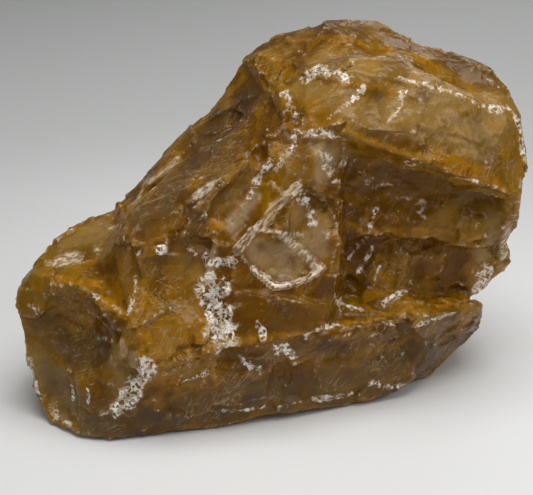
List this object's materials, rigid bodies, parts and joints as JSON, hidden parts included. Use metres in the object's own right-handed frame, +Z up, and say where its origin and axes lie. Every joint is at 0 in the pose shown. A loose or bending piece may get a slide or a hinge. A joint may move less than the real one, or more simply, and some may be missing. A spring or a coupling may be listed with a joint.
{
  "type": "rough honey calcite",
  "caption": "Rough lump of translucent honey-brown calcite with a stepped broken front, an overhanging top and a flat foot to stand on.",
  "frame": {"origin": "middle of the lump's box, on the table under it", "axes": "+X to the right as seen from the stepped front, along the lump's length; +Y to the back; +Z up from the flat foot"},
  "size_m": [0.1488, 0.0866, 0.1056],
  "materials": {
    "calcite": "rough broken, glossy, translucent honey brown"
  },
  "bodies": {
    "root": {"honey_calcite": "calcite"}
  },
  "joints": []
}
